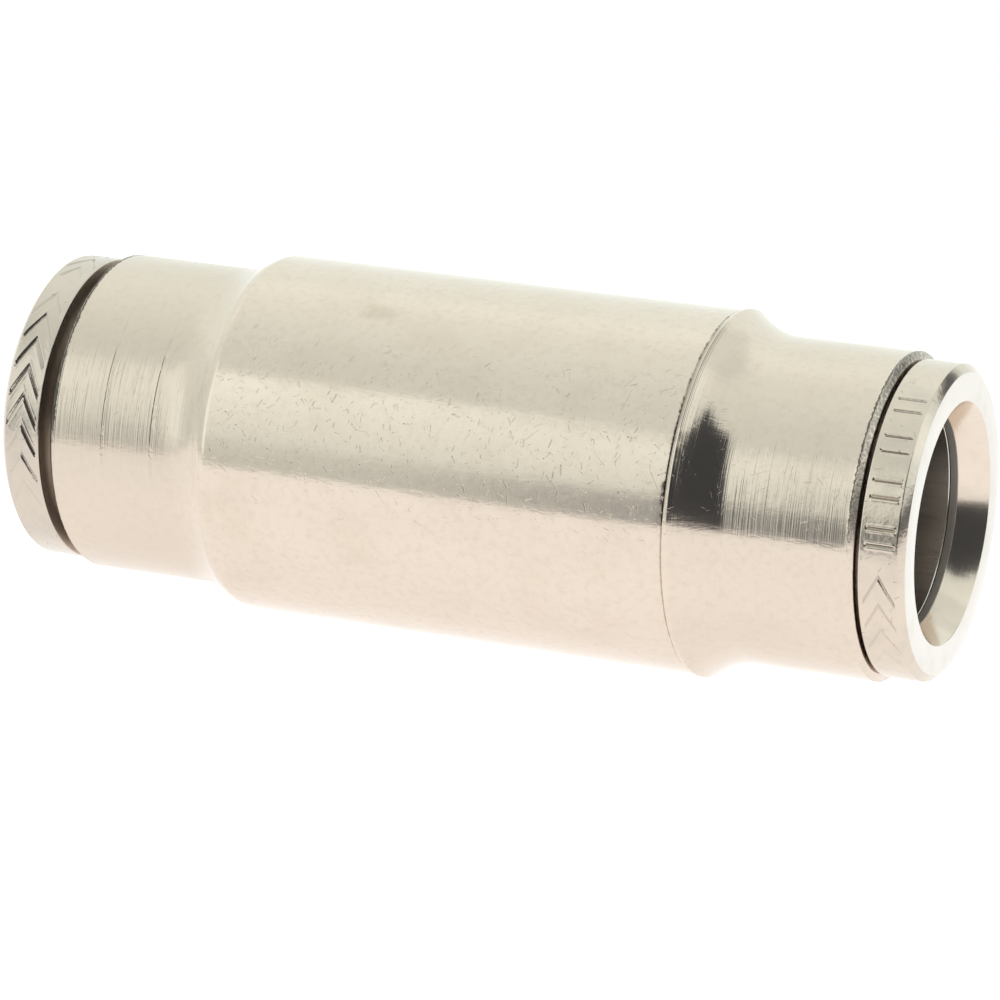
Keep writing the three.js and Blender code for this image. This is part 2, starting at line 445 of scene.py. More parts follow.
clouds = plate.noise(plate.place, 0.22, detail=4.0, roughness=0.6)
fine_clouds = plate.noise(plate.place, 1.3, detail=3.0, roughness=0.6)
cloudy = plate.ease(clouds, 0.45, 0.75) * 0.55 + plate.ease(fine_clouds, 0.5, 0.8) * 0.25

fine_rings = plate.turning_rings(0.11)
broad_rings = plate.turning_rings(0.45, waver=0.2)
small_nicks = plate.nicks(0.80, 0.70, 0.075, 0.45, 3.7)
tiny_nicks = plate.nicks(0.45, 0.40, 0.055, 0.35, 17.9)
long_nicks = plate.nicks(2.4, 1.9, 0.060, 0.25, 11.3)
pits = plate.nicks(0.60, 0.16, 0.080, 0.25, 23.1)
grip_only = 1.0 - on_neck
worn_places = plate.ease(plate.noise(plate.place, 0.55, detail=2.0), 0.35, 0.65) * 0.8 + 0.2
nick = (small_nicks + tiny_nicks * 0.7 + long_nicks * 0.7 + pits * 0.6) * (grip_only * 0.8 + 0.2) * worn_places
nick = nick * (plate.between(plate.angle, -1.30, -0.72, 0.2) * 0.72 + 0.28)
front_only = plate.between(plate.angle, -1.5, -0.75, 0.25)
scored = (
    plate.between(plate.x + (broad_rings - 0.5) * 0.1, -20.97, -20.85, 0.06)
    + plate.between(plate.x, -17.82, -17.66, 0.06)
) * plate.ease(fine_clouds, 0.35, 0.55) * front_only
grain = plate.noise(plate.place, 9.0, detail=2.0)
rubbed = plate.noise(plate.vector(plate.x * 0.7, plate.around * 2.6, 0.0), 1.0, detail=3.0, roughness=0.6)

color = plate.blend(cloudy, clean_nickel, cloudy_nickel)
ring_shade = plate.ease(fine_rings + broad_rings * 0.6, 0.05, 0.35) * (on_neck * 0.12 + 0.02)
left_neck = plate.ease(0.0 - plate.x, crest_end, hollow_end)
speckle = plate.noise(plate.place, 2.2, detail=4.0, roughness=0.65)
stain_along = plate.between(plate.x + (fine_clouds - 0.5) * 1.6, -6.0, -5.0, 0.9)
stain_around = plate.between(plate.around + (fine_clouds - 0.5) * 1.2, -4.5, -4.0, 0.8)
color = plate.blend(on_neck * 0.4 + left_neck * 0.6, color, worn_nickel)
color = plate.blend(plate.ease(speckle, 0.44, 0.72) * 0.50, color, mottled_nickel)
color = plate.blend(stain_along * stain_around * 0.24, color, stain_brown)
color = plate.blend(ring_shade, color, grey_nickel)
color = plate.blend(nick * 0.10 + scored * 0.05, color, nick_dark)
rough_spots = plate.noise(plate.place, 4.5, detail=3.0, roughness=0.7)
upper_side = plate.between(plate.angle, -1.25, 0.5, 0.25)
heavier_on_top = upper_side * 0.85 + 0.15
# The rolled end turns grey and rough where the metal was pressed over; the grey is weighted to the upper side, which is
# painted shade.
color = plate.blend(rolled * heavier_on_top * plate.ease(rough_spots, 0.3, 0.65) * 0.5, color, grey_nickel)
# Dark on the upper side of the rolled end only: partly dirt, partly painted shade.
color = plate.blend(rolled * upper_side * plate.ease(rough_spots, 0.32, 0.55) * 0.45, color, dirt_and_painted_shade)
# A dark line along the right crest, on the front and upper side only: partly dirt, partly painted shade in the crease.
rim = plate.between(plate.x, crest_start - 0.02, crest_end + 0.16, 0.03) * plate.between(plate.angle, -1.25, -0.25, 0.2)
rim_lines = plate.noise(plate.x / 0.06, 1.0, detail=1.0, dimensions="1D")
color = plate.blend(rim * plate.ease(rim_lines, 0.42, 0.60) * 0.60, color, dirt_and_painted_shade)
# A broken dark line at the fold of the rolled end, mostly on the upper side: partly dirt, partly painted shade in the
# fold.
ragged = off_middle + (rough_spots - 0.5) * 0.30
rolled_line = plate.between(ragged, body_half - 0.37, body_half - 0.29, 0.03)
color = plate.blend(rolled_line * upper_side * 0.85, color, dirt_and_painted_shade)
# A dark line along the right edge of the grip, stronger on the upper side: dirt, with painted shade in the crease.
line_gaps = plate.ease(fine_clouds, 0.36, 0.56) * plate.ease(rough_spots, 0.36, 0.60)
color = plate.blend(edge_line_dirt_and_shade * line_gaps * (upper_side * 0.65 + 0.10), color, dirt_and_painted_shade)

roughness = 0.12 + cloudy * 0.08 + nick * 0.10 + on_neck * 0.02 + left_neck * 0.07 + rolled * heavier_on_top * 0.12
height = (
    fine_rings * (on_neck * 1.3 + left_neck * 1.3 + 0.05)
    + broad_rings * (on_neck * 1.1 + left_neck * 1.4 + 0.05)
    - scored * 2.5
    - nick * 3.0
    + (clouds - 0.5) * 1.5
    + (rubbed - 0.5) * 1.1
    + (grain - 0.5) * 0.10
    + rolled * heavier_on_top * (rough_spots - 0.5) * 4.0
)
body_finish = plate.metal(color, roughness, plate.bump(height, 0.006))
print("finish", body_finish.name, "with", len(plate.tree.nodes), "nodes")

# %% [markdown]
# ## Nickel plate on the release rings
# The stamped heads have the same plate, with a duller, slightly hammered band between the marks.
# Their flat faces and lead-in cones were turned last and are the brightest metal of all, so
# those faces get a finish of their own.

# %% Finishes of the release rings
head_grey = (0.430, 0.395, 0.355)
head_dull = (0.515, 0.465, 0.410)
painted_groove_shade = (0.180, 0.155, 0.130)
head_plate = PieceFinish("nickel_plate_ring", 8.88)
head_clouds = head_plate.noise(head_plate.place, 0.5, detail=4.0, roughness=0.6)
head_grain = head_plate.noise(head_plate.place, 3.2, detail=3.0)
head_nicks = head_plate.nicks(1.1, 0.6, 0.05, 0.35, 5.2)
head_rings = head_plate.turning_rings(0.09)
head_color = head_plate.blend(head_plate.ease(head_clouds, 0.4, 0.75) * 0.5, worn_nickel, head_dull)
on_left = head_plate.ease(0.0 - head_plate.x, 0.0, 1.0)
head_color = head_plate.blend(on_left * 0.30, head_color, head_grey)
head_color = head_plate.blend(head_nicks * 0.25, head_color, nick_dark)
# The stamped grooves are painted darker by their depth, less so on the left ring: painted shade in the grooves.
stamped = head_plate.node("ShaderNodeAttribute", {"attribute_name": "stamp"}, output=2)
head_color = head_plate.blend(stamped * (0.60 - on_left * 0.30), head_color, painted_groove_shade)
head_height = (head_grain - 0.5) * 2.1 + head_rings * 0.12 - head_nicks * 1.2 + (head_clouds - 0.5) * 1.5
head_finish = head_plate.metal(
    head_color, 0.16 + head_clouds * 0.08 + head_nicks * 0.2, head_plate.bump(head_height, 0.006)
)

bright_nickel = (0.700, 0.672, 0.620)
bright_shade = (0.630, 0.590, 0.535)
face_plate = PieceFinish("nickel_plate_face", 8.0)
face_clouds = face_plate.noise(face_plate.place, 0.8, detail=4.0)
face_rings = face_plate.noise(
    face_plate.node("ShaderNodeVectorMath", {"operation": "LENGTH"}, {0: face_plate.vector(0.0, face_plate.y, face_plate.z)}, output=1) / 0.08,
    1.0, detail=2.0, dimensions="1D",
)
face_color = face_plate.blend(face_plate.ease(face_clouds, 0.45, 0.8) * 0.6, bright_nickel, bright_shade)
face_finish = face_plate.metal(
    face_color, 0.15 + face_clouds * 0.06, face_plate.bump((face_rings - 0.5) * 0.1 + face_clouds * 0.5, 0.004)
)

cone_plate = PieceFinish("nickel_plate_lead_in", 6.5)
cone_clouds = cone_plate.noise(cone_plate.place, 0.9, detail=3.0)
cone_streaks = cone_plate.noise(cone_plate.vector(cone_plate.x * 0.4, cone_plate.around * 1.6, 0.0), 1.0, detail=3.0)
cone_color = cone_plate.blend(cone_plate.ease(cone_clouds, 0.4, 0.8) * 0.5, clean_nickel, cloudy_nickel)
cone_color = cone_plate.blend(cone_plate.ease(cone_streaks, 0.5, 0.8) * 0.3, cone_color, grey_nickel)
cone_height = cone_plate.turning_rings(0.10) * 0.5 + cone_streaks * 0.6 + cone_clouds * 0.8
cone_finish = cone_plate.metal(cone_color, 0.14 + cone_clouds * 0.06, cone_plate.bump(cone_height, 0.006))

land_plate = PieceFinish("rubbed_land", 6.07)
land_clouds = land_plate.noise(land_plate.place, 1.2, detail=3.0)
land_color = land_plate.blend(land_clouds, (0.66, 0.61, 0.56), (0.50, 0.46, 0.42))
land_finish = land_plate.metal(
    land_color, 0.48 + land_clouds * 0.1, land_plate.bump(land_plate.turning_rings(0.09) * 0.5, 0.006)
)

# The ring's stem is darker than its head: painted shade in the gap between ring and body, on dull metal.
stem_plate = PieceFinish("dull_stem_painted_shade", 7.6)
stem_clouds = stem_plate.noise(stem_plate.place, 1.1, detail=4.0, roughness=0.6)
stem_shaded_color = stem_plate.blend(stem_clouds, (0.62, 0.55, 0.49), (0.42, 0.37, 0.33))
stem_finish = stem_plate.metal(
    stem_shaded_color, 0.30 + stem_clouds * 0.12, stem_plate.bump(stem_plate.turning_rings(0.09) * 0.4, 0.006)
)
print("finishes", head_finish.name, face_finish.name, cone_finish.name, stem_finish.name)

# %% [markdown]
# ## Finishes inside
# The collets are drawn from springy metal and rub dull on the tube. The toothed rings are
# stainless steel, the guide bushes and washers bare brass, and the seals black nitrile rubber.

# %% Collet, stainless, brass and rubber
collet_plate = PieceFinish("collet_metal", bore_radius)
collet_clouds = collet_plate.noise(collet_plate.place, 0.9, detail=4.0, roughness=0.6)
collet_rings = collet_plate.turning_rings(0.10)
drag = collet_plate.noise(
    collet_plate.vector(collet_plate.x * 0.25, collet_plate.y * 3.0, collet_plate.z * 3.0), 1.0, detail=3.0
)
collet_color = collet_plate.blend(
    collet_plate.ease(drag, 0.5, 0.75) * 0.5 + collet_clouds * 0.3, (0.38, 0.350, 0.322), (0.21, 0.190, 0.174)
)
collet_finish = collet_plate.metal(
    collet_color, 0.22 + drag * 0.15, collet_plate.bump(collet_rings * 0.2 + drag * 0.8, 0.006)
)

steel = PieceFinish("stainless", bore_radius)
steel_clouds = steel.noise(steel.place, 1.5, detail=3.0)
steel_color = steel.blend(steel_clouds, (0.60, 0.59, 0.57), (0.46, 0.45, 0.43))
steel_finish = steel.metal(
    steel_color, 0.25 + steel_clouds * 0.1, steel.bump(steel.turning_rings(0.08) * 0.3, 0.005)
)

brass = PieceFinish("bare_brass", 8.0)
brass_clouds = brass.noise(brass.place, 0.7, detail=4.0, roughness=0.6)
brass_color = brass.blend(brass.ease(brass_clouds, 0.4, 0.75), (0.78, 0.53, 0.24), (0.50, 0.32, 0.13))
brass_finish = brass.metal(
    brass_color, 0.24 + brass_clouds * 0.12, brass.bump(brass.turning_rings(0.12) * 0.4, 0.006)
)

rubber = PieceFinish("seal_rubber", 7.0)
rubber_bloom = rubber.noise(rubber.place, 0.9, detail=4.0)
rubber_grain = rubber.noise(rubber.place, 14.0, detail=2.0)
rubber_color = rubber.blend(rubber.ease(rubber_bloom, 0.5, 0.8) * 0.7, (0.012, 0.012, 0.013), (0.045, 0.044, 0.042))
rubber_shade = rubber.node(
    "ShaderNodeBsdfPrincipled",
    inputs={
        "Base Color": rubber_color,
        "Roughness": 0.42 + rubber_bloom * 0.2,
        "Normal": rubber.bump(rubber_grain, 0.01),
    },
)
rubber.node("ShaderNodeOutputMaterial", inputs={"Surface": rubber_shade})
rubber_finish = rubber.material
print("finishes of the inner pieces ready")

# %% [markdown]
# ## A lathe in code
# Each piece is drawn as a closed outline of points: how far along the axis, how far from it, and
# how much that corner is rounded. The outline is a few vertices joined by edges; bevel rounds
# the corners while it is still flat, which is cheap and exact. Spin turns one sector of the
# piece, which is copied round the axis and joined by merging doubles: a full turn in one
# spin gives the same mesh, but takes far longer when it has a thousand steps.


# %% The lathe
SECTORS = 8


def turned(outline, sides):
    """A closed outline of (along, radius, rounding) in millimetres, turned round the X axis."""
    work = bmesh.new()
    corners = [work.verts.new((along, 0.0, radius)) for along, radius, _ in outline]
    for first, second in zip(corners, corners[1:] + corners[:1]):
        work.edges.new((first, second))
    for corner, (_, _, rounding) in zip(corners, outline):
        if rounding > 0.0:
            bmesh.ops.bevel(
                work, geom=[corner], offset=rounding, offset_type="OFFSET",
                segments=3, profile=0.5, affect="VERTICES", material=-1,
            )
    bmesh.ops.spin(
        work, geom=work.verts[:] + work.edges[:], cent=(0.0, 0.0, 0.0), axis=(1.0, 0.0, 0.0),
        angle=math.tau / SECTORS, steps=sides // SECTORS, use_merge=False, use_duplicate=False,
    )
    sector = work.verts[:] + work.edges[:] + work.faces[:]
    for number in range(1, SECTORS):
        copied = bmesh.ops.duplicate(work, geom=sector)["geom"]
        copied_verts = [item for item in copied if isinstance(item, bmesh.types.BMVert)]
        bmesh.ops.rotate(
            work, cent=(0.0, 0.0, 0.0), verts=copied_verts,
            matrix=Matrix.Rotation(number / SECTORS * math.tau, 3, "X"),
        )
    bmesh.ops.remove_doubles(work, verts=work.verts, dist=0.0005)
    bmesh.ops.recalc_face_normals(work, faces=work.faces)
    return work


def flipped(outline):
    """The same outline for the left end, still going round the same way."""
    return [(-along, radius, rounding) for along, radius, rounding in reversed(outline)]


def on_side(side, outline):
    return outline if side > 0 else flipped(outline)


def straight(start, end, count):
    """Points spread evenly along a straight part of an outline, without its two ends."""
    points = []
    for step in range(1, count):
        share = step / count
        along = start[0] + (end[0] - start[0]) * share
        radius = start[1] + (end[1] - start[1]) * share
        points.append((along, radius, 0.0))
    return points


SHARP = math.radians(32.0)


def finished(work, name, body, nodes, materials):
    """Makes the object: smooth faces, sharp edges kept, metres, and its place in the frame."""
    bmesh.ops.scale(work, vec=(MM, MM, MM), verts=work.verts)
    for face in work.faces:
        face.smooth = True
    for edge in work.edges:
        edge.smooth = len(edge.link_faces) == 2 and edge.calc_face_angle(0.0) < SHARP
    data = bpy.data.meshes.new(name)
    work.to_mesh(data)
    closed = all(edge.is_manifold for edge in work.edges)
    work.free()
    for material in materials:
        data.materials.append(material)
    piece = bpy.data.objects.new(name, data)
    bpy.context.scene.collection.objects.link(piece)
    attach(piece, body)
    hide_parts(*nodes)
    triangles = sum(len(polygon.vertices) - 2 for polygon in data.polygons)
    print(name, "triangles", triangles, "closed", closed)
    return piece


print("lathe ready")

# %% [markdown]
# ## The body
# One bar of brass turned outside and inside: a thick grip, a fine raised crest at each
# edge of it, a hollow that sweeps down to the neck, and an end that is rolled inwards over the
# bush. The crest and the rolled end are not perfect, so after spinning, their points are
# moved a little in and out by noise: a visible dent should be in the shape itself.

# %% Outline of the body
hollow_steps = 22
hollow = []
for step in range(hollow_steps + 1):
    share = step / hollow_steps
    hollow.append((
        crest_end + shoulder_length * share,
        neck_radius + (crest_radius - neck_radius) * (1.0 - share) ** hollow_bend,
        0.0,
    ))

outside = [
    (grip_half - 0.60, grip_radius, 0.0),
    (grip_half - 0.30, grip_radius, 0.0),
    (grip_half - 0.16, grip_radius, 0.0),
    (grip_half - 0.05, grip_radius, 0.0),
    (grip_half - 0.01, grip_radius - 0.035, 0.0),
    (grip_half + 0.03, grip_radius + 0.02, 0.0),
    (crest_start, crest_radius - 0.02, 0.0),
    (crest_start + 0.04, crest_radius, 0.0),
    (crest_end - 0.05, crest_radius, 0.0),
    *hollow,
    (hollow_end + 2.0, neck_radius, 0.0),
    (body_half - 2.0, neck_radius, 0.0),
    (body_half - 0.50, neck_radius, 0.0),
    (body_half - 0.36, neck_radius, 0.0),
    (body_half - 0.31, neck_radius + 0.015, 0.0),
    (body_half - rolled_length, neck_radius + 0.02, 0.0),
    (body_half - 0.22, neck_radius - 0.02, 0.0),
    (body_half - 0.18, neck_radius - 0.07, 0.0),
    (body_half - 0.13, neck_radius - 0.14, 0.0),
    (body_half - 0.08, neck_radius - 0.21, 0.0),
    (body_half - 0.03, neck_radius - 0.27, 0.0),
    (body_half, neck_radius - rolled_height, 0.0),
    (body_half, neck_radius - 0.60, 0.0),
]
inside = [
    (body_half, lip_radius, 0.08),
    (body_half - lip_thickness, lip_radius, 0.0),
    (body_half - lip_thickness, bush_room_radius, 0.0),
    (bush_room_start, bush_room_radius, 0.0),
    (bush_room_start, seal_room_radius, 0.0),
    (seal_room_start, seal_room_radius, 0.15),
    (seal_room_start, bore_radius, 0.12),
    (stop_half, bore_radius, 0.05),
    (stop_half, flow_radius + flow_bevel, 0.05),
    (stop_half - flow_bevel, flow_radius, 0.05),
]
right_half = outside + inside
body_work = turned(right_half + flipped(right_half), 600)
print("body outline points", 2 * len(right_half))


# %% Worn crest and rough rolled end
def shift_radius(vert, amount):
    """Moves a point of a turned piece out or in by so many millimetres."""
    radius = math.hypot(vert.co.y, vert.co.z)
    factor = (radius + amount) / radius
    vert.co.y *= factor
    vert.co.z *= factor


def bell(value, middle, half):
    """1 at the middle, falling to 0 at half to either side."""
    off = abs(value - middle) / half
    return max(0.0, 1.0 - off * off) ** 2


def worn_edge(along):
    """Radius at the left edge of the grip, where the crest is rubbed off: level, then a small drop."""
    drop = max(0.0, along - (crest_end - 0.10))
    return grip_radius - drop * 0.35


for vert in body_work.verts:
    along = abs(vert.co.x)
    radius = math.hypot(vert.co.y, vert.co.z)
    if radius < neck_radius - 0.62:
        continue
    crest = bell(along, grip_half + 0.08, 0.40)
    edge = bell(along, body_half - 0.15, 0.24)
    if vert.co.x > 0.0 and crest > 0.0 and along < crest_end + 0.05:
        worn = noise.noise(vert.co * 2.2) * 0.020 + noise.noise(vert.co * 6.0) * 0.012
        shift_radius(vert, crest * (worn - 0.012))
    if vert.co.x < 0.0 and grip_half - 0.3 < along < crest_end + 0.4:
        target = worn_edge(along)
        if along < crest_end or radius > target:
            shift_radius(vert, target - radius)
    if edge > 0.0:
        rough = noise.noise(vert.co * 5.0) * 0.030 + noise.noise(vert.co * 12.0) * 0.030
        shift_radius(vert, edge * (rough - 0.01))

body_piece = finished(body_work, "fitting_body", "fixed", ["body"], [body_finish])

# %% [markdown]
# ## The release rings
# Pressing a ring frees the tube. Its head carries a stamped band of arrow marks, one above the
# other all the way round. They are real grooves: the band's outline is cut into many short
# steps so that the spun surface has a fine net of points, and each point is pushed in by
# how near it is to a mark, with a low lip beside it where the stamp squeezed the metal up.
# On the right ring, a stretch of plain bars takes the place of the stamped word.

# %% Stamped marks
mark_pitch = math.radians(11.0)
mark_drop = 1.70
mark_half_band = 0.93
mark_depth = 0.085
mark_half_width = 0.105
lip_height = 0.016
mark_slope = mark_drop / mark_half_band
mark_lean = math.hypot(1.0, mark_slope)
marks_random = random.Random(12)
left_strength = {
    3: (0.35, 0.50), 2: (0.50, 0.90), 1: (0.75, 1.00), 0: (0.95, 1.00),
    -1: (1.00, 0.60), -2: (1.00, 0.35), -3: (0.90, 0.25), -4: (0.35, 0.20),
    -5: (0.12, 0.10), -6: (0.10, 0.08), -7: (0.10, 0.06), -8: (0.10, 0.10),
}
right_strength = {
    0: (0.60, 0.75), -1: (0.45, 0.50), -2: (0.28, 0.30), -3: (0.12, 0.12), -4: (0.08, 0.08), -5: (0.08, 0.08),
    -22: (0.08, 0.08), -23: (0.08, 0.08), -24: (0.08, 0.08), -25: (0.08, 0.08), -26: (0.08, 0.08),
}


def leg_strengths(known):
    """How deep the two legs of each arrow are stamped; the stamp never struck evenly."""
    return {
        number: known.get(number, (marks_random.uniform(0.3, 0.9), marks_random.uniform(0.3, 0.9)))
        for number in range(-34, 8)
    }



def groove(distance):
    """Depth of a stamped line at a distance from its middle, with its low lip."""
    inside_line = max(0.0, 1.0 - (distance / mark_half_width) ** 2)
    lip = bell(distance, mark_half_width * 1.6, mark_half_width * 0.9)
    return -mark_depth * inside_line + lip_height * lip


def arrow_mark(angle, off_centre, head_radius, first_angle, last_angle, strengths):
    """Height of the band of arrows at a place; angle goes up from the front side."""
    if abs(off_centre) > mark_half_band:
        return 0.0
    level = (angle - first_angle) * head_radius + mark_slope * abs(off_centre)
    step = mark_pitch * head_radius
    number = round(level / step)
    apex_angle = first_angle + number * mark_pitch
    if apex_angle > last_angle or apex_angle < last_angle - math.tau + mark_pitch * 0.5:
        return 0.0
    distance = abs(level - number * step) / mark_lean
    strength = strengths[number][0 if off_centre < 0.0 else 1]
    end_fade = min(1.0, (mark_half_band - abs(off_centre)) / 0.06)
    return groove(distance) * strength * end_fade


bars_from = math.radians(5.0)
bars_to = math.radians(72.0)
bar_angles = [math.radians(value) for value in (66.0, 60.0, 49.0, 43.0, 32.0, 26.0, 15.0, 9.0)]


def bar_mark(angle, off_centre, head_radius):
    """Height of the plain bars that lie across the band."""
    if abs(off_centre) > mark_half_band - 0.1:
        return 0.0
    nearest = min(abs(angle - bar) for bar in bar_angles) * head_radius
    end_fade = min(1.0, (mark_half_band - 0.1 - abs(off_centre)) / 0.06)
    return groove(nearest) * end_fade


print("arrows around a ring:", int(math.tau / mark_pitch))

# %% [markdown]
# The ring is the same turned piece at both ends, at a different place along its travel. The head
# has a chamfered front edge, a flat face, a cone that leads the tube in, and a short land before
# the seat of the collet.

# %% Shape of a release ring
head_length = 2.553
head_chamfer_length = 0.378
head_chamfer_height = 0.46
stem_length = 2.4
stem_radius = 7.6
head_radius = 8.88
lead_in_radius = 6.84
land_length = 0.42
seat_depth = 0.465
counterbore_radius = 6.95
bead_setback = 1.4
bead_half = 0.5
bead_height = 0.13
running = 0.1
close = 0.05
band_rows = 40
ring_sides = 1080


def release_ring(side, name, back, arrows_from, arrows_to, with_bars, strengths):
    """One release ring. back is how far the back of its head stands from the middle."""
    front = back + head_length
    seat = back + seat_depth
    stem_end = back - stem_length
    bead = seat - close - bead_setback
    groove_half = bead_half + running
    band_start = (back + 0.10, head_radius)
    band_end = (back + 2.10, head_radius)
    outline = [
        (stem_end, stem_radius, 0.06),
        (back, stem_radius, 0.0),
        (back, head_radius - 0.06, 0.0),
        (back + 0.02, head_radius - 0.015, 0.0),
        (back + 0.05, head_radius, 0.0),
        (*band_start, 0.0),
        *straight(band_start, band_end, band_rows),
        (*band_end, 0.0),
        (front - head_chamfer_length, head_radius, 0.02),
        (front, head_radius - head_chamfer_height, 0.03),
        (front, lead_in_radius, 0.03),
        (seat + land_length, bore_radius, 0.03),
        (seat, bore_radius, 0.0),
        (seat, counterbore_radius, 0.0),
        (bead + groove_half, counterbore_radius, 0.0),
        (bead, counterbore_radius + bead_height, 0.0),
        (bead - groove_half, counterbore_radius, 0.0),
        (stem_end, counterbore_radius, 0.06),
    ]
    work = turned(on_side(side, outline), ring_sides)
    stamp = work.verts.layers.float.new("stamp")
    band_middle = back + 1.16
    for vert in work.verts:
        off_centre = abs(vert.co.x) - band_middle
        radius = math.hypot(vert.co.y, vert.co.z)
        if radius < head_radius - 0.002 or abs(off_centre) > 1.1:
            continue
        angle = math.atan2(vert.co.z, -vert.co.y)
        if with_bars and angle > bars_from and angle < bars_to:
            height_here = bar_mark(angle, off_centre, head_radius)
        else:
            if angle > arrows_to + 0.1 * mark_pitch:
                angle -= math.tau
            height_here = arrow_mark(angle, off_centre, head_radius, arrows_from, arrows_to, strengths)
        vert[stamp] = max(0.0, -height_here / mark_depth)
        shift_radius(vert, height_here + noise.noise(vert.co * 1.4) * 0.004)
    for face in work.faces:
        middle = face.calc_center_median()
        forward = abs(face.normal.x)
        if abs(middle.x) > front - 0.05 and forward > 0.8:
            face.material_index = 1
        if abs(middle.x) < back + 0.001:
            face.material_index = 2
        elif math.hypot(middle.y, middle.z) < lead_in_radius and abs(middle.x) > seat:
            on_land = math.hypot(middle.y, middle.z) < bore_radius + 0.02
            face.material_index = 4 if on_land else 3
    body_name = name + "_ring"
    return finished(
        work, "release_ring_of_" + name, body_name, ["release_ring_" + name],
        [head_finish, face_finish, stem_finish, cone_finish, land_finish],
    )


left_back = -reach("release_ring_left")[0] - head_length
right_back = reach("release_ring_right")[1] - head_length
ring_right = release_ring(1, "right", right_back, math.radians(-2.0), math.radians(4.0), True, leg_strengths(right_strength))
ring_left = release_ring(-1, "left", left_back, math.radians(32.0), math.radians(75.0), False, leg_strengths(left_strength))
print("head backs at", round(left_back, 3), round(right_back, 3))

# %% [markdown]
# ## Collets and their toothed rings
# A collet is a thin sleeve whose inner half is slit into eight springy fingers. It is turned like
# the rest, then the slits are cut with one set of box-shaped cutters and a Boolean
# modifier, whose result is kept as the mesh. The toothed ring that bites the tube sits in
# the fingers' heads, and is open at one place so that it can close up.


# %% Cutting slits
def slit(work, cutters, name):
    """Cuts the cutters out of a turned piece and gives back the piece as a bmesh."""
    blank = bpy.data.meshes.new(name + "_blank")
    work.to_mesh(blank)
    work.free()
    tool = bpy.data.meshes.new(name + "_cutters")
    cutters.to_mesh(tool)
    cutters.free()
    blank_object = bpy.data.objects.new(name + "_blank", blank)
    tool_object = bpy.data.objects.new(name + "_cutters", tool)
    for part in (blank_object, tool_object):
        bpy.context.scene.collection.objects.link(part)
    cut = blank_object.modifiers.new("slits", "BOOLEAN")
    cut.operation = "DIFFERENCE"
    cut.solver = "EXACT"
    cut.object = tool_object
    graph = bpy.context.evaluated_depsgraph_get()
    result = bmesh.new()
    result.from_object(blank_object, graph)
    bpy.data.objects.remove(blank_object)
    bpy.data.objects.remove(tool_object)
    bmesh.ops.remove_doubles(result, verts=result.verts, dist=0.0005)
    bmesh.ops.dissolve_degenerate(result, edges=result.edges, dist=0.0005)
    return result


def box_cutter(cutters, size, place, turn_about_x):
    """Adds one box to a set of cutters, turned about the axis of the fitting."""
    made = bmesh.ops.create_cube(cutters, size=1.0)["verts"]
    bmesh.ops.scale(cutters, vec=size, verts=made)
    bmesh.ops.translate(cutters, vec=place, verts=made)
    bmesh.ops.rotate(
        cutters, cent=(0.0, 0.0, 0.0), matrix=Matrix.Rotation(turn_about_x, 3, "X"), verts=made
    )


sleeve_radius = 6.85
collet_head_radius = 7.55
collet_length = 11.0
collet_head_length = 2.0
collet_edge_length = 0.35
collet_edge_depth = 0.2
slit_count = 8
slit_width = 0.9
slit_length = 5.5
tooth_ring_length = 1.1
tooth_ring_wall = 0.55
tooth_height = 0.17
tooth_ring_split = 1.2
collet_sides = 192


def collet(side, name, end):
    """One collet. end is how far its plain end stands from the middle."""
    start = end - collet_length
    cone_start = start + collet_head_length
    bead = end - bead_setback
    room_start = start + collet_edge_length
    room_end = room_start + tooth_ring_length
    room_radius = bore_radius + tooth_ring_wall
    outline = [
        (start, collet_head_radius, 0.05),
        (cone_start, collet_head_radius, 0.05),
        (cone_start + collet_head_radius - sleeve_radius, sleeve_radius, 0.0),
        (bead - bead_half, sleeve_radius, 0.0),
        (bead, sleeve_radius + bead_height, 0.0),
        (bead + bead_half, sleeve_radius, 0.0),
        (end, sleeve_radius, 0.04),
        (end, bore_radius, 0.07),
        (room_end, bore_radius, 0.0),
        (room_end, room_radius, 0.0),
        (room_start, room_radius, 0.0),
        (room_start, bore_radius + collet_edge_depth, 0.0),
        (start, bore_radius + collet_edge_depth, 0.05),
    ]
    work = turned(on_side(side, outline), collet_sides)
    cutters = bmesh.new()
    middle_radius = (bore_radius + collet_head_radius) / 2
    for number in range(slit_count):
        box_cutter(
            cutters,
            (2 * slit_length, slit_width, 2 * (collet_head_radius - bore_radius)),
            (side * start, 0.0, middle_radius),
            (number + 0.5) / slit_count * math.tau,
        )
    work = slit(work, cutters, "collet_" + name)
    for face in work.faces:
        if abs(face.calc_center_median().x) > end - 0.085:
            face.material_index = 1
    return finished(
        work, "collet_of_" + name, name + "_slider", ["collet_" + name],
        [collet_finish, face_finish],
    )


def toothed_ring(side, name, start):
    """The split ring with teeth inside a collet's head."""
    end = start + tooth_ring_length - 2 * close
    outer = bore_radius + tooth_ring_wall - close
    root = bore_radius + close
    tip = bore_radius - tooth_height
    middle = (start + end) / 2
    outline = [
        (start, outer, 0.05),
        (end, outer, 0.05),
        (end, tip, 0.0),
        (middle + close, root, 0.0),
        (middle, tip, 0.0),
        (start, root, 0.0),
    ]
    work = turned(on_side(side, outline), collet_sides)
    cutters = bmesh.new()
    box_cutter(
        cutters, (2 * tooth_ring_length, tooth_ring_split, bore_radius), (side * middle, 0.0, bore_radius), 0.0
    )
    work = slit(work, cutters, "toothed_ring_" + name)
    return finished(
        work, "toothed_ring_of_" + name, name + "_slider", ["toothed_ring_" + name], [steel_finish]
    )


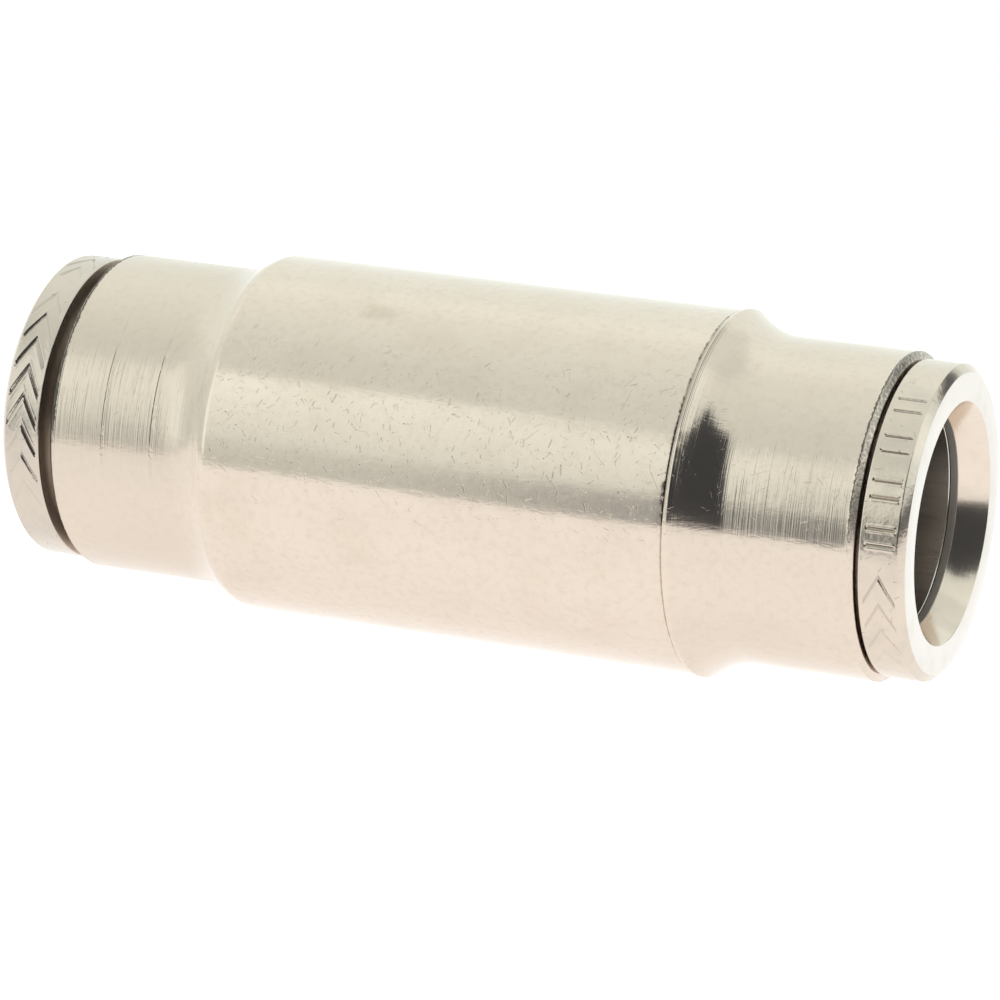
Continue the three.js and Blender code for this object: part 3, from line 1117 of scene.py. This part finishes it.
left_end = -reach("collet_left")[0]
right_end = reach("collet_right")[1]
collet(1, "right", right_end)
collet(-1, "left", left_end)
toothed_ring(1, "right", reach("toothed_ring_right")[0])
toothed_ring(-1, "left", -reach("toothed_ring_left")[1])
print("collets end at", round(left_end, 3), round(right_end, 3))

# %% [markdown]
# ## Pieces that stay in the body
# At each end a brass bush guides the collet and closes its fingers, a thin washer keeps the
# collet off the seal, and the seal is a plain rubber ring.

# %% Bush, washer and seal
throat_radius = 7.03
bush_head_room = 7.90
seal_section = 2.1
seal_ring_radius = 7.0


def guide_bush(side, name):
    low, high, outer = reach("guide_bush_" + name)
    start = min(abs(low), abs(high))
    end = max(abs(low), abs(high))
    stem_room_start = 21.505
    cone_start = 16.43
    outline = [
        (start, outer, 0.05),
        (end, outer, 0.05),
        (end, lip_radius, 0.04),
        (stem_room_start, lip_radius, 0.0),
        (stem_room_start, throat_radius, 0.04),
        (cone_start + bush_head_room - throat_radius, throat_radius, 0.0),
        (cone_start, bush_head_room, 0.0),
        (start, bush_head_room, 0.04),
    ]
    work = turned(on_side(side, outline), collet_sides)
    return finished(
        work, "guide_bush_of_" + name, "fixed", ["guide_bush_" + name], [brass_finish]
    )


def spacer_washer(side, name):
    low, high, outer = reach("spacer_washer_" + name)
    start = min(abs(low), abs(high))
    end = max(abs(low), abs(high))
    inner = bore_radius + close
    outline = [
        (start, outer, 0.08),
        (end, outer, 0.08),
        (end, inner, 0.06),
        (start, inner, 0.06),
    ]
    work = turned(on_side(side, outline), collet_sides)
    return finished(
        work, "spacer_washer_of_" + name, "fixed", ["spacer_washer_" + name], [brass_finish]
    )


def seal(side, name):
    low, high, outer = reach("seal_" + name)
    middle = (low + high) / 2
    section = (high - low) / 2
    work = bmesh.new()
    bmesh.ops.create_circle(work, radius=section, segments=32)
    bmesh.ops.rotate(work, cent=(0, 0, 0), matrix=Matrix.Rotation(math.pi / 2, 3, "X"), verts=work.verts)
    bmesh.ops.translate(work, vec=(middle, 0.0, outer - section), verts=work.verts)
    bmesh.ops.spin(
        work, geom=work.verts[:] + work.edges[:], cent=(0.0, 0.0, 0.0), axis=(1.0, 0.0, 0.0),
        angle=math.tau, steps=160, use_merge=True, use_duplicate=False,
    )
    bmesh.ops.recalc_face_normals(work, faces=work.faces)
    return finished(work, "seal_of_" + name, "fixed", ["seal_" + name], [rubber_finish])


for end_side, end_name in ((1, "right"), (-1, "left")):
    guide_bush(end_side, end_name)
    spacer_washer(end_side, end_name)
    seal(end_side, end_name)
